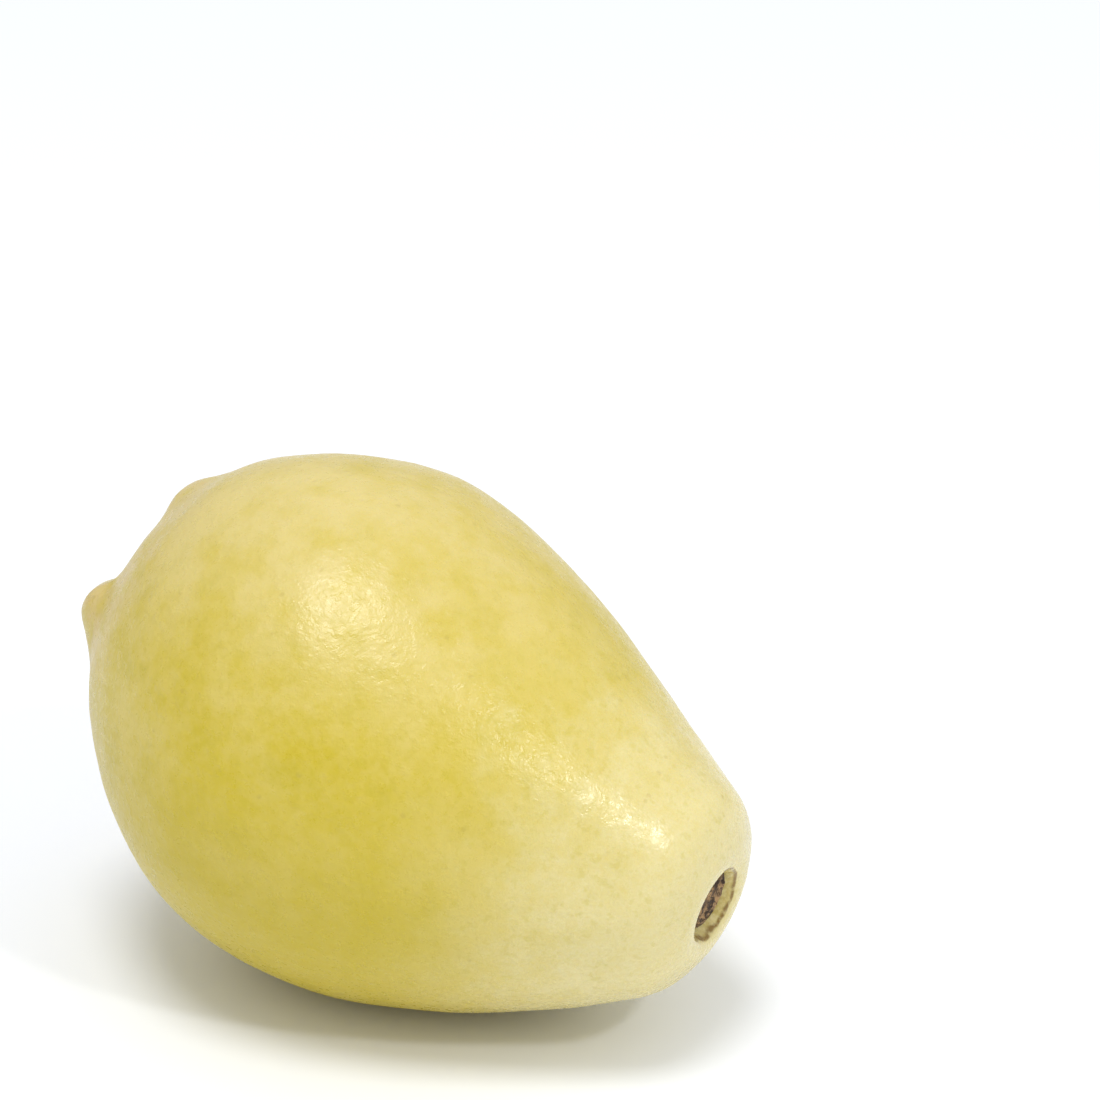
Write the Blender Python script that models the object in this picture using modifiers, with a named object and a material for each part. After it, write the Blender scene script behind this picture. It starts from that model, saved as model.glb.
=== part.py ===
"""A pear-shaped guava lying on its side, at its real size in metres.

Every piece is modelled round a straight axis along X, from the blossom end at
X = 0 to the stem end at X = LENGTH. lay_down() then bends that axis and tips
the stem end down, and rest() moves everything over the origin, so the pieces
keep their places on one another. A cut at Z = 0 leaves the flat resting spot.
"""

import math

import bmesh
import bpy
from mathutils import Matrix, Vector

MM = 0.001

# Driving dimensions of the fruit.
LENGTH = 83.5 * MM
WIDTH = 65 * MM
TIP_ANGLE = math.radians(18.5)
BEND_RADIUS = 420 * MM
BEND_START = 0.3 * LENGTH
BEND_SIDE = -34
BELLY_SWELL = 2.2 * MM
FLAT_DEPTH = 0.9 * MM

# The crown at the blossom end: a rim, a shallow basin inside it, fleshy knobs on it.
RIM_RADIUS = 12.0 * MM
BASIN_RADIUS = 9.4 * MM
BASIN_DEPTH = 4.0 * MM
KNOB_RING = 13.0 * MM
KNOB_REACH = 4.3 * MM
KNOB_FLARE = 0.35
# Each knob: angle round the axis in degrees, its height, height of the rib behind it.
KNOBS = (
    (10, 1.4 * MM, 1.3 * MM),
    (91, 2.8 * MM, 0.1 * MM),
    (186, 2.2 * MM, 0.8 * MM),
    (278, 2.0 * MM, 0.7 * MM),
)
RIB_PEAK = 9 * MM
RIB_HALF_ANGLE = 24

# The pit at the stem end and the woody scar of the stalk in it.
PIT_RADIUS = 4.8 * MM
PIT_DEPTH = 2.4 * MM
SCAR_RADIUS = 3.3 * MM
SCAR_HEIGHT = 1.1 * MM
SCAR_RISE = 0.3 * MM

# The dried sepals, one inside each knob, and the dried style between them.
SEPAL_ROOT = 9.2 * MM
SEPAL_LENGTH = 6.4 * MM
SEPAL_WIDTH = 6.4 * MM
SEPAL_THICKNESS = 0.7 * MM
SEPAL_HEIGHT = -0.2 * MM
SEPAL_ARCH = 1.0 * MM
STYLE_RADIUS = 0.6 * MM
STYLE_HEIGHT = 2.2 * MM

GAP = 0.3 * MM
MERGE = 0.01 * MM
ROUND_STEPS = 56

# Side outline of the body: share of LENGTH, share of half the WIDTH.
BODY_OUTLINE = (
    (0.04, 0.57),
    (0.12, 0.76),
    (0.20, 0.885),
    (0.29, 0.97),
    (0.38, 1.0),
    (0.50, 0.96),
    (0.62, 0.865),
    (0.74, 0.73),
    (0.84, 0.59),
    (0.92, 0.475),
    (0.97, 0.385),
    (0.99, 0.29),
)


def clear_scene():
    for thing in list(bpy.data.objects):
        bpy.data.objects.remove(thing)


def make_collection(name):
    collection = bpy.data.collections.new(name)
    bpy.context.scene.collection.children.link(collection)
    return collection


def make_material(name, colour, roughness):
    material = bpy.data.materials.new(name)
    material.use_nodes = True
    shader = material.node_tree.nodes["Principled BSDF"]
    shader.inputs["Base Color"].default_value = (*colour, 1)
    shader.inputs["Roughness"].default_value = roughness
    shader.inputs["Metallic"].default_value = 0
    return material


def add_piece(mesh, material, collection):
    piece = bpy.data.objects.new(mesh.name, mesh)
    collection.objects.link(piece)
    mesh.materials.append(material)
    mesh.shade_smooth()
    mesh.set_sharp_from_angle(angle=math.radians(50))
    return piece


def baked_mesh(thing, name):
    """The object's evaluated mesh, in one piece and with its faces pointing out."""
    depsgraph = bpy.context.evaluated_depsgraph_get()
    mesh = bpy.data.meshes.new_from_object(thing.evaluated_get(depsgraph))
    mesh.name = name
    shape = bmesh.new()
    shape.from_mesh(mesh)
    bmesh.ops.remove_doubles(shape, verts=shape.verts, dist=MERGE)
    bmesh.ops.recalc_face_normals(shape, faces=shape.faces)
    shape.to_mesh(mesh)
    shape.free()
    return mesh


def turned_mesh(name, outline, smoothness):
    """Mesh of a smooth outline, given as (along X, radius), turned round the X axis."""
    curve = bpy.data.curves.new(name + "_outline", "CURVE")
    curve.dimensions = "3D"
    curve.resolution_u = smoothness
    spline = curve.splines.new("BEZIER")
    spline.bezier_points.add(len(outline) - 1)
    for point, (along, radius) in zip(spline.bezier_points, outline):
        point.co = (along, 0, radius)
        point.handle_left_type = "AUTO"
        point.handle_right_type = "AUTO"
    guide = bpy.data.objects.new(name + "_outline", curve)
    bpy.context.scene.collection.objects.link(guide)

    turn = guide.modifiers.new("turn", "SCREW")
    turn.axis = "X"
    turn.steps = ROUND_STEPS
    turn.render_steps = ROUND_STEPS
    turn.use_merge_vertices = True
    turn.merge_threshold = MERGE
    mesh = baked_mesh(guide, name)
    bpy.data.objects.remove(guide)
    return mesh


def side_direction(degrees):
    """Unit vector out from the axis: 0 degrees is the upper side, 90 the -Y side."""
    angle = math.radians(degrees)
    return Vector((0, -math.sin(angle), math.cos(angle)))


def fruit_outline():
    """Half outline from the middle of the basin to the middle of the stem pit."""
    basin = [
        (BASIN_DEPTH, 0),
        (BASIN_DEPTH * 0.92, BASIN_RADIUS * 0.5),
        (BASIN_DEPTH * 0.3, BASIN_RADIUS),
        (0, RIM_RADIUS),
    ]
    body = [(LENGTH * along, WIDTH / 2 * out) for along, out in BODY_OUTLINE]
    pit = [
        (LENGTH, PIT_RADIUS * 1.15),
        (LENGTH - PIT_DEPTH * 0.25, PIT_RADIUS * 0.9),
        (LENGTH - PIT_DEPTH, PIT_RADIUS * 0.78),
        (LENGTH - PIT_DEPTH, 0),
    ]
    return basin + body + pit


def raise_knobs(mesh):
    """Lift a soft flat-topped knob out of the crown's rim, with a low rib behind it."""
    for vertex in mesh.vertices:
        across = Vector((0, vertex.co.y, vertex.co.z))
        lift = Vector((0, 0, 0))
        for degrees, knob_height, rib_height in KNOBS:
            outward = side_direction(degrees)
            if vertex.co.x < LENGTH / 4:
                distance = (across - KNOB_RING * outward).length / KNOB_REACH
                swell = knob_height * math.exp(-distance ** 4)
                lift += swell * (outward * KNOB_FLARE - Vector((1, 0, 0)))
            if across.length > RIM_RADIUS:
                off_angle = across.angle(outward) / math.radians(RIB_HALF_ANGLE)
                off_peak = math.log(max(vertex.co.x, MM) / RIB_PEAK)
                lift += rib_height * math.exp(-off_angle ** 2 - off_peak ** 2) * outward
        vertex.co += lift


def make_fruit(collection):
    mesh = turned_mesh("fruit", fruit_outline(), 3)
    raise_knobs(mesh)
    skin = make_material("guava_skin", (0.72, 0.60, 0.16), 0.45)
    return add_piece(mesh, skin, collection)


def make_stem_scar(collection):
    """A low woody disc over the floor of the pit, nearer its upper side, with a domed top."""
    foot = LENGTH - PIT_DEPTH + GAP
    top = foot + SCAR_HEIGHT
    outline = [
        (foot, 0),
        (foot, SCAR_RADIUS * 0.85),
        (foot + SCAR_HEIGHT * 0.4, SCAR_RADIUS),
        (top - SCAR_HEIGHT * 0.15, SCAR_RADIUS * 0.75),
        (top, 0),
    ]
    mesh = turned_mesh("stem_scar", outline, 2)
    mesh.transform(Matrix.Translation((0, 0, SCAR_RISE)))
    cork = make_material("dry_stalk", (0.16, 0.09, 0.045), 0.9)
    return add_piece(mesh, cork, collection)


def make_style(collection):
    """The dried style, a short tapered peg in the middle of the basin."""
    bpy.ops.mesh.primitive_cone_add(
        vertices=12,
        radius1=STYLE_RADIUS,
        radius2=STYLE_RADIUS * 0.5,
        depth=STYLE_HEIGHT,
    )
    peg = bpy.context.object
    mesh = peg.data
    mesh.name = "dried_style"
    bpy.data.objects.remove(peg)
    middle = BASIN_DEPTH - GAP - STYLE_HEIGHT / 2
    mesh.transform(Matrix.Translation((middle, 0, 0)) @ Matrix.Rotation(-math.pi / 2, 4, "Y"))
    husk = make_material("dry_style", (0.12, 0.07, 0.04), 0.9)
    return add_piece(mesh, husk, collection)


def make_sepal(number, degrees, knob_height, collection):
    """A dried sepal: a thin pointed lobe that arches in from its knob over the basin."""
    bpy.ops.mesh.primitive_grid_add(x_subdivisions=8, y_subdivisions=6, size=2)
    blade = bpy.context.object
    root = SEPAL_HEIGHT + knob_height / 2
    for vertex in blade.data.vertices:
        along = (vertex.co.x + 1) / 2
        side = vertex.co.y
        half_width = SEPAL_WIDTH / 2 * math.sqrt(1.04 - along ** 2)
        height = root + SEPAL_ARCH * (math.sin(math.pi * along) - along - side ** 2 / 2)
        inward = SEPAL_ROOT - SEPAL_LENGTH * along
        vertex.co = (-height, side * half_width, inward)
    blade.data.transform(Matrix.Rotation(math.radians(degrees), 4, "X"))

    thicken = blade.modifiers.new("thicken", "SOLIDIFY")
    thicken.thickness = SEPAL_THICKNESS
    thicken.offset = 0
    mesh = baked_mesh(blade, f"sepal_{number}")
    bpy.data.objects.remove(blade)
    husk = make_material(f"dry_sepal_{number}", (0.20, 0.12, 0.06), 0.85)
    return add_piece(mesh, husk, collection)


def bent(point):
    """Move a point with the axis as its ends turn in an arc towards BEND_SIDE."""
    inside = side_direction(BEND_SIDE)
    across = inside.cross(Vector((1, 0, 0)))
    turn = (point.x - BEND_START) / BEND_RADIUS
    reach = BEND_RADIUS - point.dot(inside)
    along = reach * math.sin(turn)
    towards = BEND_RADIUS - reach * math.cos(turn)
    return Vector((along, 0, 0)) + towards * inside + point.dot(across) * across


def lay_down(piece):
    """Bend the axis, fill out the belly, then tip the stem end down."""
    belly = -side_direction(BEND_SIDE)
    for vertex in piece.data.vertices:
        along = min(max(vertex.co.x / LENGTH, 0), 1)
        vertex.co = bent(vertex.co) + BELLY_SWELL * math.sin(math.pi * along) * belly
    piece.data.transform(Matrix.Rotation(TIP_ANGLE, 4, "Y"))


def rest(pieces, fruit):
    """Centre the pieces over the origin, with the fruit's lowest FLAT_DEPTH below it."""
    points = [vertex.co for vertex in fruit.data.vertices]
    low = Vector(min(point[axis] for point in points) for axis in range(3))
    high = Vector(max(point[axis] for point in points) for axis in range(3))
    middle = (low + high) / 2
    shift = Vector((-middle.x, -middle.y, -low.z - FLAT_DEPTH))
    for piece in pieces:
        piece.data.transform(Matrix.Translation(shift))


def cut_flat(fruit, cutters):
    """Cut away what is below Z = 0."""
    bpy.ops.mesh.primitive_cube_add(size=LENGTH * 2, location=(0, 0, -LENGTH))
    block = bpy.context.object
    block.name = "below_ground"
    block.hide_render = True
    block.display_type = "WIRE"
    for collection in list(block.users_collection):
        collection.objects.unlink(block)
    cutters.objects.link(block)
    cut = fruit.modifiers.new("flat_spot", "BOOLEAN")
    cut.operation = "DIFFERENCE"
    cut.solver = "EXACT"
    cut.object = block


def main():
    clear_scene()
    guava = make_collection("guava")
    cutters = make_collection("cutters")
    fruit = make_fruit(guava)
    pieces = [fruit, make_stem_scar(guava), make_style(guava)]
    for number, (degrees, knob_height, _) in enumerate(KNOBS, start=1):
        pieces.append(make_sepal(number, degrees, knob_height, guava))
    for piece in pieces:
        lay_down(piece)
    rest(pieces, fruit)
    cut_flat(fruit, cutters)


main()
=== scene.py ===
"""A ripe yellow guava lying on its side on a white table.

The skin, the stem scar, the four dried sepals and the dried style are each a fine mesh that is built
here on the matching CAD node. All lengths are in metres unless a name ends in _MM.
"""

import math

import bpy
import numpy as np
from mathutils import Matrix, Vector, noise
from mathutils.bvhtree import BVHTree


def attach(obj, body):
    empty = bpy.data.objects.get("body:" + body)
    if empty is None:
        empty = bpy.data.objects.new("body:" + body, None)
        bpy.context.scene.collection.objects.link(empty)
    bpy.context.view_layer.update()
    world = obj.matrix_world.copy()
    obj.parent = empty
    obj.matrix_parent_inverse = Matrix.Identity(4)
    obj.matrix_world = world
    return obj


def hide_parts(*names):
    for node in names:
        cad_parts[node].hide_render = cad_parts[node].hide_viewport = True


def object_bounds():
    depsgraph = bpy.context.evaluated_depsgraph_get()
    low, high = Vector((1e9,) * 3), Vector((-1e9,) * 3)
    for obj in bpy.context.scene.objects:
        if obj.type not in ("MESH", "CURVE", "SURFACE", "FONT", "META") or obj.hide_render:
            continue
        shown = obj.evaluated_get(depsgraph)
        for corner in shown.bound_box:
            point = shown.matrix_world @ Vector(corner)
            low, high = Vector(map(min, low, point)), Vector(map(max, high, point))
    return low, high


MM = 0.001

# The skin's grid: rings from the stem end to the blossom end, closer together at both ends.
RINGS = 250
SPOKES = 360
END_CROWDING = 0.45

# How far the CAD's flat facets are smoothed out: a blur in spokes round each ring, and a number of
# passes from ring to ring, which count for less near the ends.
SPOKE_BLUR = 3.0
RING_PASSES = 14
END_PASS_SHARE = 0.12

# What is added to a point's distance from an end's axis when the point is on the other half.
OTHER_END_MM = 50

# Unevenness of the skin: wavelength and depth of each size of dent. The dents grow shallower, by a
# share, between two distances from the stem pit's axis, and fade out just above the flat spot.
SKIN_DENTS_MM = ((17.0, 0.50), (6.5, 0.12), (2.6, 0.045))
PIT_CALM_FROM_MM = 7
PIT_CALM_TO_MM = 12
PIT_CALM_SHARE = 0.75
FLAT_FADE_MM = 1.5

# Folds in the basin at the blossom end.
FOLD_COUNT = 17
FOLD_DEPTH_MM = 0.42

# The woody plug in the stem pit: its width against the CAD disc's, how far its top lies below the
# disc's, how far it is moved up, and where its flat top ends, as a share of its radius.
SCAR_SPREAD = 1.08
SCAR_SINK_MM = 0.05
SCAR_LIFT_MM = 0.30
SCAR_SPOKES = 120
SCAR_FLAT = 0.93

# Each sepal: how far its tip leans sideways in mm, its length against the CAD node's, and how far
# its tip curls up in mm.
SEPAL_TWISTS = ((0.9, 1.06, 1.1), (-0.7, 0.92, 0.5), (0.5, 1.12, 1.5), (-1.1, 0.98, 0.8))
SEPAL_ROWS = 48
SEPAL_COLUMNS = 40
SEPAL_BURIED_SHARE = 0.38

# The dried style: radius at its foot and how much thinner it gets, and how far it bends sideways.
STYLE_RADIUS_MM = 0.75
STYLE_TAPER_MM = 0.38
STYLE_BEND_MM = 0.45
STYLE_RINGS = 40
STYLE_SPOKES = 32

# The camera: angles in degrees, and its place from the fruit's middle in shares of the length.
CAMERA_TURN = 34.5
CAMERA_RISE = 24.0
CAMERA_DISTANCE = 6.32
CAMERA_RIGHT = 0.1946
CAMERA_UP = 0.2547
LENS_MM = 150.4

# The room's brightness at the level of the table and overhead, and how much brighter it is on the
# camera's right.
ROOM_LOW = 0.34
ROOM_HIGH = 0.78
ROOM_LEAN = 0.10

# Each lamp: its name, its turn and rise in degrees, its distance and width in metres, its watts.
SOFTBOXES = (("overhead", 16, 74, 1.6, 0.60, 11.0), ("side", 76, 42, 0.9, 0.08, 1.3))

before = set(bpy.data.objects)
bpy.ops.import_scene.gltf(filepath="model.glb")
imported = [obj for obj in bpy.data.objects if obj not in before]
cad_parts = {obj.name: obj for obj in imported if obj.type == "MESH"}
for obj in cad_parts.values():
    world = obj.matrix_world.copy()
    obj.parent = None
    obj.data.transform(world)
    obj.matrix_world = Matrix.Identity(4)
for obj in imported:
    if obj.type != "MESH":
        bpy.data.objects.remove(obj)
cad_low, cad_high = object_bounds()
centre = (cad_low + cad_high) / 2
length = cad_high.x - cad_low.x
scene = bpy.context.scene
scene.view_settings.view_transform = "Standard"


# ---------------------------------------------------------------- shapes


def node_points(name):
    """The corners of a CAD node as an array."""
    return np.array([v.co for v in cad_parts[name].data.vertices])


def node_tree(name):
    """A search tree over the faces of a CAD node."""
    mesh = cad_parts[name].data
    corners = [v.co for v in mesh.vertices]
    faces = [tuple(p.vertices) for p in mesh.polygons]
    return BVHTree.FromPolygons(corners, faces)


def node_axis(name, longest):
    """A CAD node's middle, and its longest or shortest direction, turned away from the fruit's middle."""
    points = node_points(name)
    middle = (points.min(0) + points.max(0)) / 2
    directions = np.linalg.svd(points - points.mean(0), full_matrices=False)[2]
    axis = directions[0] if longest else directions[2]
    if axis @ (middle - np.array(centre)) < 0:
        axis = -axis
    return middle, axis


def axis_distance(points, middle, axis):
    """How far each point is from the line along axis through middle."""
    offset = points - middle
    return np.linalg.norm(offset - np.outer(offset @ axis, axis), axis=1)


def unit(v):
    return v / np.linalg.norm(v, axis=-1, keepdims=True)


def cross_directions(axis):
    """Two directions square to an axis and to each other: a level one, and the upper one."""
    side = unit(np.cross(axis, (0, 0, 1)))
    return side, np.cross(side, axis)


def smoothstep(low, high, value):
    t = np.clip((value - low) / (high - low), 0, 1)
    return t * t * (3 - 2 * t)


def fractal(points, wavelength_mm, octaves=2, shift=0.0):
    """Smooth noise of about -1 to 1 at each point."""
    scale = 1 / (wavelength_mm * MM)
    offset = Vector((shift, 1.7 * shift, -0.6 * shift))
    values = [noise.fractal(Vector(p) * scale + offset, 1.0, 2.0, octaves) for p in points]
    return np.array(values)


def new_piece(name, points, faces):
    mesh = bpy.data.meshes.new(name)
    mesh.from_pydata([tuple(p) for p in points], [], faces)
    mesh.update()
    mesh.shade_smooth()
    piece = bpy.data.objects.new(name, mesh)
    scene.collection.objects.link(piece)
    return piece


def add_attribute(piece, name, values):
    attribute = piece.data.attributes.new(name, "FLOAT", "POINT")
    attribute.data.foreach_set("value", np.asarray(values, np.float32))


def vertex_normals(piece):
    normals = np.zeros(len(piece.data.vertices) * 3, np.float32)
    piece.data.vertex_normals.foreach_get("vector", normals)
    return normals.reshape(-1, 3).astype(float)


def set_points(piece, points):
    piece.data.vertices.foreach_set("co", np.asarray(points, np.float32).ravel())
    piece.data.update()


def grid_faces(rings, spokes):
    """Outward faces of a closed grid of rings, whose first and last points are its two poles."""
    faces = []
    for r in range(rings - 1):
        for s in range(spokes):
            a = 1 + r * spokes + s
            b = 1 + r * spokes + (s + 1) % spokes
            faces.append((a, b, b + spokes, a + spokes))
    last = 1 + rings * spokes
    for s in range(spokes):
        faces.append((0, 1 + (s + 1) % spokes, 1 + s))
        below = 1 + (rings - 1) * spokes
        faces.append((last, below + s, below + (s + 1) % spokes))
    return faces


# The axes of the two ends: a point on each, and its direction out of the fruit.
stem_middle, stem_axis = node_axis("stem_scar", longest=False)
crown_middle, crown_axis = node_axis("dried_style", longest=True)


def skin_directions():
    """Directions from the fruit's middle, in rings round a line that bends from stem to crown."""
    to_stem = unit(stem_middle - np.array(centre))
    from_crown = unit(np.array(centre) - crown_middle)
    share = np.arange(1, RINGS + 1) / (RINGS + 1)
    polar = np.pi * (share - END_CROWDING * np.sin(2 * np.pi * share) / (2 * np.pi))
    turn = 2 * np.pi * np.arange(SPOKES) / SPOKES
    swing = (1 - np.cos(polar))[:, None] / 2
    axis = unit((1 - swing) * to_stem + swing * from_crown)
    side, upper = cross_directions(axis)
    ring = np.cos(turn)[None, :, None] * side[:, None] + np.sin(turn)[None, :, None] * upper[:, None]
    out = np.sin(polar)[:, None, None] * ring
    directions = np.cos(polar)[:, None, None] * axis[:, None] + out
    return to_stem, directions, -from_crown


def surface_distance(tree, direction):
    """How far the CAD surface is from the fruit's middle, looking in from outside."""
    far = 2 * length
    toward = Vector(direction)
    hit = tree.ray_cast(centre + toward * far, -toward)
    return far - hit[3]


def smooth_distances(distances):
    """The distances with the CAD's facets smoothed out."""
    reach = int(3 * SPOKE_BLUR)
    steps = np.arange(-reach, reach + 1)
    weights = np.exp(-(steps**2) / (2 * SPOKE_BLUR**2))
    weights /= weights.sum()
    smooth = sum(w * np.roll(distances, s, axis=1) for s, w in zip(steps, weights))
    share = np.arange(RINGS) / (RINGS - 1)
    ends = np.minimum(share, 1 - share)
    amount = END_PASS_SHARE + (1 - END_PASS_SHARE) * smoothstep(0.16, 0.30, ends)
    for _ in range(RING_PASSES):
        before = np.vstack([smooth[:1], smooth[:-1]])
        after = np.vstack([smooth[1:], smooth[-1:]])
        smooth = smooth + amount[:, None] * ((before + after) / 4 - smooth / 2)
    return smooth


def skin_grid():
    """The skin's points on the smoothed CAD surface, from the stem end to the blossom end."""
    tree = node_tree("fruit")
    to_stem, directions, to_crown = skin_directions()
    distances = np.array([[surface_distance(tree, d) for d in ring] for ring in directions])
    distances = smooth_distances(distances)
    grid = (np.array(centre) + distances[..., None] * directions).reshape(-1, 3)
    stem_point = np.array(centre) + surface_distance(tree, to_stem) * to_stem
    crown_point = np.array(centre) + surface_distance(tree, to_crown) * to_crown
    return np.vstack([stem_point, grid, crown_point])


def make_skin():
    """The fruit's outer skin, with shallow dents, calmer at the stem pit and none at the flat spot.

    Its attributes for the material: along runs from 0 at the stem to 1 at the crown, and pit_reach
    and crown_reach are the distances in mm from the pit's and the crown's axis.
    """
    points = skin_grid()
    skin = new_piece("guava_skin", points, grid_faces(RINGS, SPOKES))
    normals = vertex_normals(skin)

    crown_half = points[:, 0] < 0
    stem_half = points[:, 0] > 0
    pit_reach = axis_distance(points, stem_middle, stem_axis) / MM + OTHER_END_MM * crown_half
    crown_reach = axis_distance(points, crown_middle, crown_axis) / MM + OTHER_END_MM * stem_half
    near_pit = 1 - smoothstep(PIT_CALM_FROM_MM, PIT_CALM_TO_MM, pit_reach)
    inward = np.zeros(len(points))
    for number, (wavelength, depth) in enumerate(SKIN_DENTS_MM):
        dent = 0.5 + 0.5 * np.clip(fractal(points, wavelength, 2, 3.1 * number), -1, 1)
        inward += depth * MM * dent
    inward *= 1 - PIT_CALM_SHARE * near_pit
    inward += crown_folds(points, crown_reach)
    inward *= smoothstep(0.0, FLAT_FADE_MM * MM, points[:, 2])
    points = points - inward[:, None] * normals
    points = np.clip(points, np.array(cad_low), np.array(cad_high))
    set_points(skin, points)

    span = crown_middle - stem_middle
    add_attribute(skin, "along", (points - stem_middle) @ span / (span @ span))
    add_attribute(skin, "pit_reach", pit_reach)
    add_attribute(skin, "crown_reach", crown_reach)
    return skin


def crown_folds(points, reach_mm):
    """Depth of the shrivelled folds that run down into the basin at the blossom end."""
    side, upper = cross_directions(crown_axis)
    offset = points - crown_middle
    turn = np.arctan2(offset @ upper, offset @ side)
    waver = 1.6 * fractal(points, 5.0, 2, 13.0)
    fold = 0.5 + 0.5 * np.sin(FOLD_COUNT * turn + 2.2 * waver)
    fold = fold * (0.6 + 0.4 * np.sin(7 * turn + waver))
    share = smoothstep(1.5, 6.0, reach_mm) * (1 - smoothstep(10.5, 14.5, reach_mm))
    return FOLD_DEPTH_MM * MM * fold * share


def scar_profile(radius, top, bottom):
    """Radius and height of each ring of the plug: its top, its rounded edge, its side and its base."""
    profile = [(radius * r, top) for r in np.linspace(0.02, SCAR_FLAT, 26)]
    for angle in (0.4, 0.8, 1.2):
        out = SCAR_FLAT + (1 - SCAR_FLAT) * math.sin(angle)
        profile.append((radius * out, top - radius * 0.10 * (1 - math.cos(angle))))
    profile += [(radius, top + (bottom - top) * t) for t in (0.35, 0.7, 1.0)]
    profile += [(radius * r, bottom) for r in (0.6, 0.2)]
    return profile


def make_scar():
    """A torn, fibrous woody plug: rings of points round the scar's axis, roughened with noise."""
    axis = stem_axis
    side, upper = cross_directions(axis)
    corners = node_points("stem_scar") - stem_middle
    radius = np.abs(corners @ side).max() * SCAR_SPREAD
    half_height = np.abs(corners @ axis).max()
    top = half_height - SCAR_SINK_MM * MM
    profile = scar_profile(radius, top, -half_height)
    points = [stem_middle + axis * top]
    for out, height in profile:
        for step in range(SCAR_SPOKES):
            turn = 2 * math.pi * step / SCAR_SPOKES
            spoke = math.cos(turn) * side + math.sin(turn) * upper
            points.append(stem_middle + out * spoke + height * axis)
    points.append(stem_middle - axis * half_height)
    points = np.array(points) + SCAR_LIFT_MM * MM * upper
    scar = new_piece("stem_scar_plug", points, grid_faces(len(profile), SCAR_SPOKES))

    rough = fractal(points, 1.6, 4, 5.0)
    strands = fractal(points * np.array([1.0, 1.0, 0.35]), 0.7, 3, 9.0)
    out = np.linalg.norm(np.cross(points - stem_middle, axis), axis=1) / radius
    lift = MM * (0.35 * rough + 0.22 * strands) - MM * 0.25 * smoothstep(0.2, 1.0, out)
    on_top = (points - stem_middle) @ axis > top - 0.2 * MM
    points = points + np.outer(np.where(on_top, lift, 0.0), axis)
    points = points + 0.25 * MM * np.outer(np.where(on_top, 0.0, rough), upper)
    set_points(scar, points)
    return scar


def wave(values, frequency, seed, layer):
    """Smooth noise along a row of values."""
    return np.array([noise.noise(Vector((frequency * x, seed, layer))) for x in values])


def sheet_faces(rows, columns):
    """Faces of a thin closed sheet: two grids of points, back to back, and the rim that joins them."""
    count = rows * columns
    faces = []
    for i in range(rows - 1):
        for j in range(columns - 1):
            a = i * columns + j
            faces.append((a, a + 1, a + columns + 1, a + columns))
            faces.append((count + a, count + a + columns, count + a + columns + 1, count + a + 1))
    rim = list(range(columns))
    rim += [i * columns + columns - 1 for i in range(1, rows)]
    rim += [(rows - 1) * columns + j for j in range(columns - 2, -1, -1)]
    rim += [i * columns for i in range(rows - 2, 0, -1)]
    for a, b in zip(rim, rim[1:] + rim[:1]):
        faces.append((b, a, count + a, count + b))
    return faces


def make_sepal(node, number):
    """A dried sepal: a thin ragged lobe from its buried root to its tip, wrinkled and curled.

    t runs from below 0 in the buried root to 1 at the tip, and v from -1 to 1 across the blade.
    """
    offset = node_points(node) - crown_middle
    outward = unit(offset.mean(0) - (offset.mean(0) @ crown_axis) * crown_axis)
    across = np.cross(crown_axis, outward)
    reach = offset @ outward
    root, tip = reach.max(), reach.min()
    guide = np.polyfit((root - reach) / (root - tip), offset @ crown_axis, 2)
    half_width = np.abs(offset @ across).max()
    lean, stretch, curl = SEPAL_TWISTS[number]
    seed = 20.0 * (number + 1)

    t = np.linspace(-SEPAL_BURIED_SHARE, 1, SEPAL_ROWS)[:, None]
    v = np.linspace(-1, 1, SEPAL_COLUMNS)[None, :]
    blade = np.clip(t, 0, 1)
    edge = wave(t[:, 0], 3.5, seed, 0.0)[:, None]
    ragged = wave(t[:, 0], 14.0, seed, 7.0)[:, None]
    taper = np.sqrt(np.clip(1.02 - blade**1.3, 0.02, 1)) + 0.9 * np.clip(-t, 0, 1)
    width = half_width * taper * (1 + 0.16 * edge + 0.08 * ragged)
    end = 1 + 0.10 * wave(v[0], 2.5, seed, 3.0)[None, :]
    r = root - (root - tip) * stretch * t * end
    w = width * v + lean * MM * blade**2
    h = np.polyval(guide, blade) + curl * MM * blade**3
    h = h + 2.6 * MM * np.clip(t, -1, 0) * (0.4 + v**2)
    h = h + 0.55 * MM * blade * v**2 - 0.10 * MM * np.cos(9 * v) * (1 - 0.5 * t)
    middle = crown_middle + r[..., None] * outward + w[..., None] * across + h[..., None] * crown_axis
    flat = middle.reshape(-1, 3)
    wrinkles = (0.30 * fractal(flat, 2.4, 3, seed) + 0.10 * fractal(flat, 0.8, 2, seed)) * MM
    fade = np.repeat(smoothstep(-0.3, 0.3, t[:, 0]), SEPAL_COLUMNS)
    flat = flat + np.outer(wrinkles * fade, crown_axis)
    thick = (0.28 - 0.17 * blade) * np.sqrt(np.clip(1.001 - v**4, 0, 1)) * MM
    shift = np.outer(thick.reshape(-1), crown_axis)
    points = np.vstack([flat + shift, flat - shift])
    sepal = new_piece(node + "_dry", points, sheet_faces(SEPAL_ROWS, SEPAL_COLUMNS))
    add_attribute(sepal, "blade_across", np.tile(w.reshape(-1), 2))
    add_attribute(sepal, "blade_along", np.tile((root - r).reshape(-1), 2))
    return sepal


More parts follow.
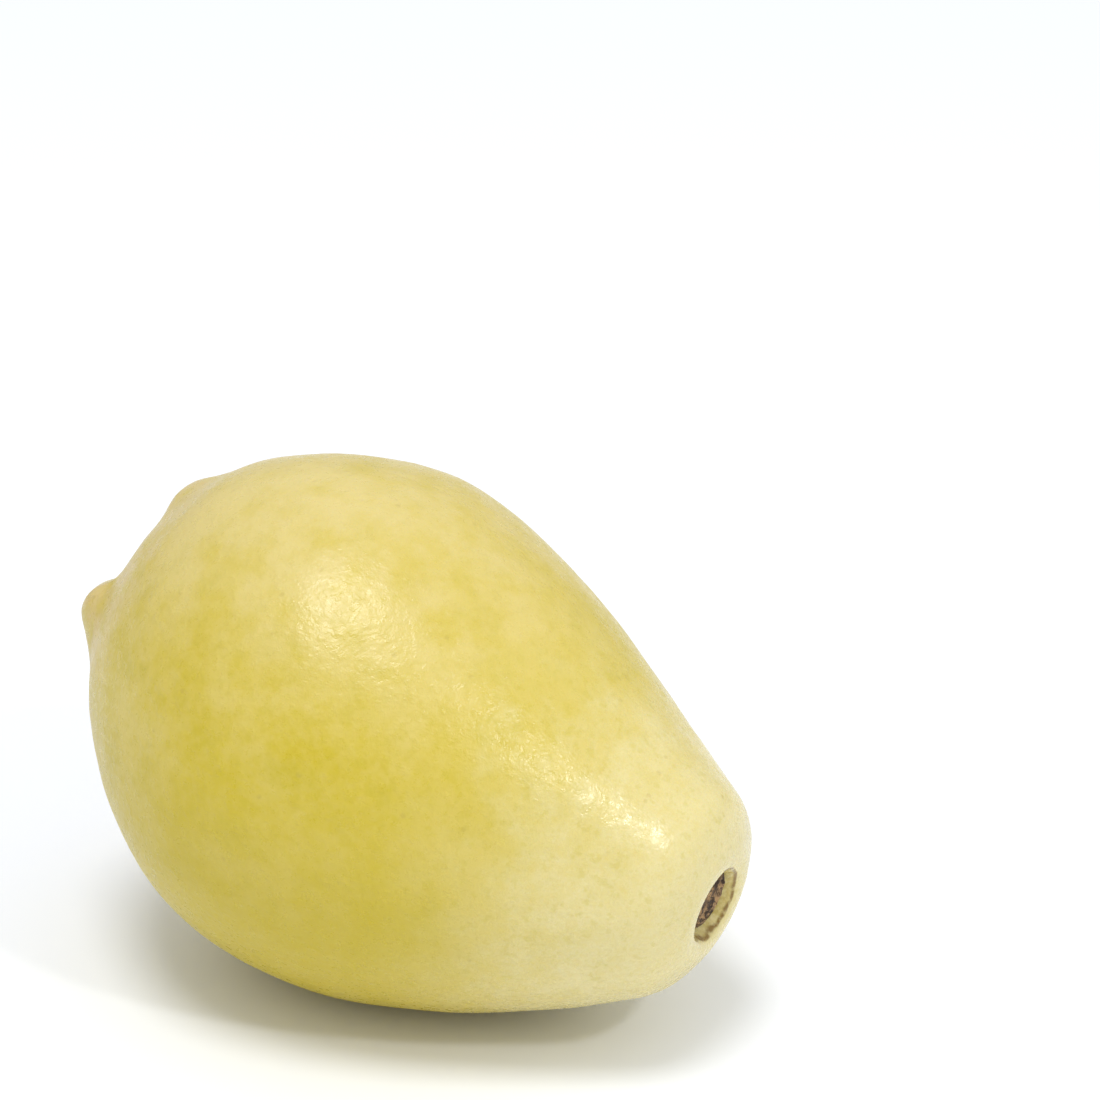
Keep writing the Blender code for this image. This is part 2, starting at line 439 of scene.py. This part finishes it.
def make_style():
    """The dried style: a crooked, shrivelled peg along its CAD node, with a broken end."""
    height = (node_points("dried_style") - crown_middle) @ crown_axis
    low, high = height.min(), height.max()
    side, upper = cross_directions(crown_axis)
    bend = STYLE_BEND_MM * MM * side
    points = [crown_middle + low * crown_axis]
    for t in np.linspace(0, 1, STYLE_RINGS):
        radius = MM * (STYLE_RADIUS_MM - STYLE_TAPER_MM * t) * math.sqrt(min(1, 12 * (1.02 - t)))
        heart = crown_middle + t * t * bend + (low + (high - low) * t) * crown_axis
        for step in range(STYLE_SPOKES):
            turn = 2 * math.pi * step / STYLE_SPOKES
            ridge = 1 + 0.16 * math.cos(5 * turn + 2 * t)
            points.append(heart + radius * ridge * (math.cos(turn) * side + math.sin(turn) * upper))
    points.append(crown_middle + bend + high * crown_axis)
    points = np.array(points)
    points = points + 0.10 * MM * np.outer(fractal(points, 0.7, 3, 41.0), side + upper)
    # The rings run from the foot to the end, the other way round from the skin's and the plug's.
    faces = [tuple(reversed(face)) for face in grid_faces(STYLE_RINGS, STYLE_SPOKES)]
    return new_piece("dried_style_peg", points, faces)


# ---------------------------------------------------------------- materials


class Surface:
    """A material, and short ways to add nodes to it, which read the object's own coordinates."""

    def __init__(self, name):
        self.material = bpy.data.materials.new(name)
        self.material.use_nodes = True
        self.tree = self.material.node_tree
        self.shader = self.tree.nodes["Principled BSDF"]
        self.place = self.add("ShaderNodeTexCoord").outputs["Object"]

    def add(self, kind, **settings):
        node = self.tree.nodes.new(kind)
        for key, value in settings.items():
            setattr(node, key, value)
        return node

    def link(self, source, target):
        self.tree.links.new(source, target)

    def put(self, socket, value):
        if isinstance(value, bpy.types.NodeSocket):
            self.link(value, socket)
        else:
            socket.default_value = value

    def noise(self, wavelength_mm, detail=3.0, roughness=0.55, distortion=0.0, shift=0.0):
        mapping = self.add("ShaderNodeMapping")
        self.link(self.place, mapping.inputs["Vector"])
        mapping.inputs["Location"].default_value = (shift, -shift, 2 * shift)
        node = self.add("ShaderNodeTexNoise")
        self.link(mapping.outputs["Vector"], node.inputs["Vector"])
        node.inputs["Scale"].default_value = 1 / (wavelength_mm * MM)
        node.inputs["Detail"].default_value = detail
        node.inputs["Roughness"].default_value = roughness
        node.inputs["Distortion"].default_value = distortion
        return node.outputs["Fac"]

    def cells(self, width_mm):
        node = self.add("ShaderNodeTexVoronoi")
        self.link(self.place, node.inputs["Vector"])
        node.inputs["Scale"].default_value = 1 / (width_mm * MM)
        return node.outputs["Distance"]

    def attribute(self, name):
        node = self.add("ShaderNodeAttribute", attribute_name=name)
        return node.outputs["Fac"]

    def height(self):
        split = self.add("ShaderNodeSeparateXYZ")
        self.link(self.place, split.inputs["Vector"])
        return split.outputs["Z"]

    def ramp(self, value, low, high, start=0.0, end=1.0):
        """A smooth step from start to end as the value goes from low to high."""
        node = self.add("ShaderNodeMapRange", interpolation_type="SMOOTHSTEP")
        self.put(node.inputs["Value"], value)
        node.inputs["From Min"].default_value = low
        node.inputs["From Max"].default_value = high
        node.inputs["To Min"].default_value = start
        node.inputs["To Max"].default_value = end
        return node.outputs["Result"]

    def maths(self, operation, a, b):
        node = self.add("ShaderNodeMath", operation=operation)
        self.put(node.inputs[0], a)
        self.put(node.inputs[1], b)
        return node.outputs["Value"]

    def mix(self, share, a, b):
        node = self.add("ShaderNodeMix", data_type="RGBA")
        self.put(node.inputs["Factor"], share)
        self.put(node.inputs["A"], a)
        self.put(node.inputs["B"], b)
        return node.outputs["Result"]

    def bump(self, height, depth_mm, normal=None):
        node = self.add("ShaderNodeBump")
        self.link(height, node.inputs["Height"])
        node.inputs["Distance"].default_value = depth_mm * MM
        if normal is not None:
            self.link(normal, node.inputs["Normal"])
        return node.outputs["Normal"]


def colour(red, green, blue):
    """A linear colour from its 0-255 screen values."""
    parts = []
    for c in (red, green, blue):
        c = c / 255
        parts.append(c / 12.92 if c <= 0.04045 else ((c + 0.055) / 1.055) ** 2.4)
    return (*parts, 1.0)


GOLD = colour(204, 183, 52)
PALE = colour(215, 195, 100)
CREAM = colour(230, 218, 164)
OLIVE = colour(195, 177, 48)
TAN = colour(214, 188, 138)
# A deeper yellow, used as the skin's real deeper tone and also as painted shade on the underside.
DEEPER_TONE_AND_SHADE = colour(199, 178, 22)
# The pale colour of the sheen painted over the upper side.
PAINTED_SHEEN_COLOUR = colour(221, 203, 138)
HUSK = colour(140, 108, 56)
DARK_BROWN = colour(66, 44, 18)
RIM_BROWN = colour(132, 100, 38)
PIT_OLIVE = colour(196, 174, 90)
SPECK = colour(172, 150, 70)
WOOD_DARK = colour(56, 37, 15)
WOOD_PALE = colour(180, 143, 96)
LEAF_DARK = colour(84, 58, 28)
LEAF_PALE = colour(158, 128, 76)
LEAF_GREEN = colour(170, 150, 70)


def skin_colours(s, along):
    """Mottled yellow, paler to the stem, tan round the crown's knobs, with a pale sheen painted on top
    and painted shade, partly a real deeper yellow, below.
    """
    patches = s.noise(15, 2, 0.5)
    mottle = s.noise(4.5, 4, 0.58, shift=0.05)
    grain = s.noise(1.3, 2, 0.6, shift=0.02)
    blend = s.maths("ADD", s.maths("MULTIPLY", patches, 0.5), s.maths("MULTIPLY", mottle, 0.5))
    base = s.mix(s.ramp(blend, 0.36, 0.66), GOLD, PALE)
    olive = s.ramp(s.noise(6.0, 5, 0.6, shift=0.11), 0.50, 0.72, 0.0, 0.6)
    base = s.mix(olive, base, OLIVE)

    uneven = s.maths("ADD", along, s.ramp(mottle, 0.2, 0.8, -0.10, 0.10))
    base = s.mix(s.ramp(uneven, 0.40, 0.0, 0.0, 0.85), base, CREAM)

    crown = s.attribute("crown_reach")
    band = s.maths("MULTIPLY", s.ramp(crown, 12.0, 14.5), s.ramp(crown, 26.0, 17.0))
    blush = s.maths("MULTIPLY", band, s.ramp(mottle, 0.30, 0.60, 0.15, 0.75))
    base = s.mix(blush, base, TAN)

    base = s.mix(s.ramp(grain, 0.40, 0.70, 0.0, 0.30), base, PALE)
    base = s.mix(s.ramp(grain, 0.50, 0.30, 0.0, 0.30), base, OLIVE)

    height = s.height()
    # Painted light: a pale sheen painted over the upper side, where the light from above falls, patchy
    # with the mottle.
    painted_sheen = s.ramp(height, 42 * MM, 66 * MM, 0.0, 0.7)
    painted_sheen = s.maths("MULTIPLY", painted_sheen, s.ramp(blend, 0.35, 0.60, 0.5, 1.0))
    base = s.mix(painted_sheen, base, PAINTED_SHEEN_COLOUR)
    # Painted shade, partly a real deeper yellow: the colour grows deeper and darker towards the
    # underside, less so near the stem and a little less in the pale patches.
    low = s.ramp(height, 48 * MM, 16 * MM, 0.0, 0.85)
    low = s.maths("MULTIPLY", low, s.ramp(along, 0.10, 0.40))
    low = s.maths("MULTIPLY", low, s.ramp(blend, 0.36, 0.62, 1.0, 0.80))
    base = s.mix(low, base, DEEPER_TONE_AND_SHADE)

    spots = s.ramp(s.cells(2.3), 0.08, 0.20, 0.25, 0.0)
    chosen = s.ramp(s.noise(3.1, 2, 0.5, shift=0.3), 0.56, 0.64)
    base = s.mix(s.maths("MULTIPLY", spots, chosen), base, SPECK)

    husk = s.ramp(s.noise(2.0, 4, 0.65, shift=0.8), 0.30, 0.62, 0.35, 1.0)
    husk = s.maths("MULTIPLY", s.ramp(crown, 10.5, 6.5), husk)
    return s.mix(husk, base, HUSK)


def skin_material():
    """A thin waxy skin with fine pores, glossier and smoother towards the stem."""
    s = Surface("guava_skin")
    along = s.attribute("along")
    base = pit_colours(s, skin_colours(s, along))
    s.link(base, s.shader.inputs["Base Color"])

    patchy = s.ramp(s.noise(0.9, 2, 0.6, shift=0.9), 0.3, 0.7, -0.07, 0.07)
    rough = s.maths("ADD", patchy, s.ramp(along, 0.0, 0.4, 0.25, 0.33))
    s.link(rough, s.shader.inputs["Roughness"])

    raised = s.ramp(s.noise(1.4, 3, 0.6, shift=0.4), 0.50, 0.75, 0.0, 0.5)
    pores = s.maths("ADD", s.noise(0.7, 2, 0.6), raised)
    pores = s.maths("MULTIPLY", pores, s.ramp(along, 0.02, 0.30, 0.55, 1.0))
    normal = s.bump(s.noise(3.2, 2, 0.5, shift=0.2), 0.10)
    s.link(s.bump(pores, 0.078, normal), s.shader.inputs["Normal"])

    s.shader.inputs["Specular IOR Level"].default_value = 0.44
    s.shader.inputs["Subsurface Weight"].default_value = 0.12
    s.shader.inputs["Subsurface Radius"].default_value = (1.0, 0.7, 0.25)
    s.shader.inputs["Subsurface Scale"].default_value = 2.0 * MM
    return s.material


def pit_colours(s, base):
    """Browned flesh in the stem pit: an olive wall, a dark floor and a thin brown line at the rim."""
    shift = s.ramp(s.noise(4.0, 2, 0.5, shift=0.5), 0.2, 0.8, -0.35, 0.35)
    reach = s.maths("ADD", s.attribute("pit_reach"), shift)
    grit = s.noise(0.9, 3, 0.65, shift=0.6)
    wall = s.maths("MULTIPLY", s.ramp(reach, 5.0, 4.5), s.ramp(grit, 0.35, 0.65, 0.25, 0.95))
    base = s.mix(wall, base, PIT_OLIVE)
    line = s.maths("MULTIPLY", s.ramp(reach, 5.05, 4.85), s.ramp(reach, 4.50, 4.72))
    line = s.maths("MULTIPLY", line, s.ramp(grit, 0.30, 0.60, 0.25, 0.90))
    base = s.mix(line, base, RIM_BROWN)
    floor = s.maths("MULTIPLY", s.ramp(reach, 3.9, 3.5), s.ramp(grit, 0.35, 0.6, 0.3, 0.9))
    return s.mix(floor, base, DARK_BROWN)


def stalk_material():
    """Torn dark wood with paler fibres."""
    s = Surface("dry_stalk")
    fibres = s.noise(1.1, 5, 0.7, 0.5)
    blotch = s.noise(3.2, 3, 0.6, shift=0.07)
    base = s.mix(s.ramp(fibres, 0.42, 0.60), WOOD_DARK, WOOD_PALE)
    base = s.mix(s.ramp(blotch, 0.45, 0.65, 0.0, 0.75), base, WOOD_DARK)
    s.link(base, s.shader.inputs["Base Color"])
    s.link(s.ramp(fibres, 0.2, 0.8, 0.65, 0.9), s.shader.inputs["Roughness"])
    s.link(s.bump(fibres, 0.25), s.shader.inputs["Normal"])
    return s.material


def sepal_material():
    """Papery brown leaf with veins that run along it, greener at its root and darker at its tip."""
    s = Surface("dry_sepal")
    along = s.attribute("blade_along")
    across = s.attribute("blade_across")
    vector = s.add("ShaderNodeCombineXYZ")
    s.link(s.maths("MULTIPLY", along, 0.22), vector.inputs["X"])
    s.link(across, vector.inputs["Y"])
    veins = s.add("ShaderNodeTexNoise")
    s.link(vector.outputs["Vector"], veins.inputs["Vector"])
    veins.inputs["Scale"].default_value = 1 / (0.55 * MM)
    veins.inputs["Detail"].default_value = 3
    veins = veins.outputs["Fac"]
    blotch = s.noise(1.8, 4, 0.65, 0.2)
    base = s.mix(s.ramp(veins, 0.35, 0.65), LEAF_DARK, LEAF_PALE)
    base = s.mix(s.ramp(blotch, 0.42, 0.66, 0.0, 0.7), base, LEAF_DARK)
    base = s.mix(s.ramp(along, 1.8 * MM, -0.9 * MM, 0.0, 0.9), base, LEAF_GREEN)
    base = s.mix(s.ramp(along, 4.0 * MM, 7.0 * MM, 0.0, 0.6), base, WOOD_DARK)
    s.link(base, s.shader.inputs["Base Color"])
    s.link(s.ramp(blotch, 0.2, 0.8, 0.6, 0.9), s.shader.inputs["Roughness"])
    s.link(s.bump(veins, 0.18), s.shader.inputs["Normal"])
    return s.material


# ---------------------------------------------------------------- the object

skin = make_skin()
skin.data.materials.append(skin_material())
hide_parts("fruit")
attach(skin, "root")

dry_stalk = stalk_material()
dry_sepal = sepal_material()

scar = make_scar()
scar.data.materials.append(dry_stalk)
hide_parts("stem_scar")
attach(scar, "root")

for number in range(len(SEPAL_TWISTS)):
    node = f"sepal_{number + 1}"
    sepal = make_sepal(node, number)
    sepal.data.materials.append(dry_sepal)
    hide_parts(node)
    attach(sepal, "root")

style = make_style()
style.data.materials.append(dry_stalk)
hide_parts("dried_style")
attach(style, "root")


# ---------------------------------------------------------------- table, light and camera


def make_floor():
    half = 25 * length
    corners = [(-half, -half, 0), (half, -half, 0), (half, half, 0), (-half, half, 0)]
    floor = new_piece("floor", corners, [(0, 1, 2, 3)])
    material = bpy.data.materials.new("white_table")
    material.use_nodes = True
    shader = material.node_tree.nodes["Principled BSDF"]
    shader.inputs["Base Color"].default_value = (0.94, 0.96, 1.0, 1)
    shader.inputs["Roughness"].default_value = 0.9
    shader.inputs["Specular IOR Level"].default_value = 0.0
    floor.data.materials.append(material)


def from_angles(turn, rise):
    """The direction that is turned from -Y towards +X and raised above level, both in degrees."""
    a = math.radians(turn)
    e = math.radians(rise)
    return Vector((math.sin(a) * math.cos(e), -math.cos(a) * math.cos(e), math.sin(e)))


def add_softbox(name, turn, rise, distance, size, power):
    """A round lamp that faces the fruit from that direction and distance in metres."""
    data = bpy.data.lights.new(name, "AREA")
    data.shape = "DISK"
    data.size = size
    data.energy = power
    lamp = bpy.data.objects.new(name, data)
    direction = from_angles(turn, rise)
    lamp.location = centre + direction * distance
    lamp.rotation_mode = "QUATERNION"
    lamp.rotation_quaternion = direction.to_track_quat("Z", "Y")
    scene.collection.objects.link(lamp)


def make_camera():
    back = from_angles(CAMERA_TURN, CAMERA_RISE)
    right = from_angles(CAMERA_TURN + 90, 0)
    up = back.cross(right)
    data = bpy.data.cameras.new("camera")
    data.lens = LENS_MM
    data.sensor_width = 36
    data.clip_start = 0.05
    data.clip_end = 50
    camera = bpy.data.objects.new("camera", data)
    offset = right * CAMERA_RIGHT + up * CAMERA_UP + back * CAMERA_DISTANCE
    camera.location = centre + offset * length
    camera.rotation_mode = "QUATERNION"
    camera.rotation_quaternion = back.to_track_quat("Z", "Y")
    scene.collection.objects.link(camera)
    scene.camera = camera


def make_world():
    """A white room whose walls are dimmer than its ceiling, and brighter on the camera's right."""
    world = bpy.data.worlds.new("white_room")
    world.use_nodes = True
    tree = world.node_tree
    place = tree.nodes.new("ShaderNodeTexCoord")
    split = tree.nodes.new("ShaderNodeSeparateXYZ")
    ramp = tree.nodes.new("ShaderNodeMapRange")
    ramp.inputs["From Max"].default_value = 0.7
    ramp.inputs["To Min"].default_value = ROOM_LOW
    ramp.inputs["To Max"].default_value = ROOM_HIGH
    tree.links.new(place.outputs["Generated"], split.inputs["Vector"])
    tree.links.new(split.outputs["Z"], ramp.inputs["Value"])
    side = tree.nodes.new("ShaderNodeVectorMath")
    side.operation = "DOT_PRODUCT"
    side.inputs[1].default_value = from_angles(CAMERA_TURN + 90, 0) * ROOM_LEAN
    total = tree.nodes.new("ShaderNodeMath")
    total.operation = "ADD"
    tree.links.new(place.outputs["Generated"], side.inputs[0])
    tree.links.new(ramp.outputs["Result"], total.inputs[0])
    tree.links.new(side.outputs["Value"], total.inputs[1])
    tree.links.new(total.outputs["Value"], tree.nodes["Background"].inputs["Strength"])
    tree.nodes["Background"].inputs["Color"].default_value = (0.97, 0.985, 1.02, 1)
    scene.world = world


make_floor()
make_world()
for softbox in SOFTBOXES:
    add_softbox(*softbox)
make_camera()
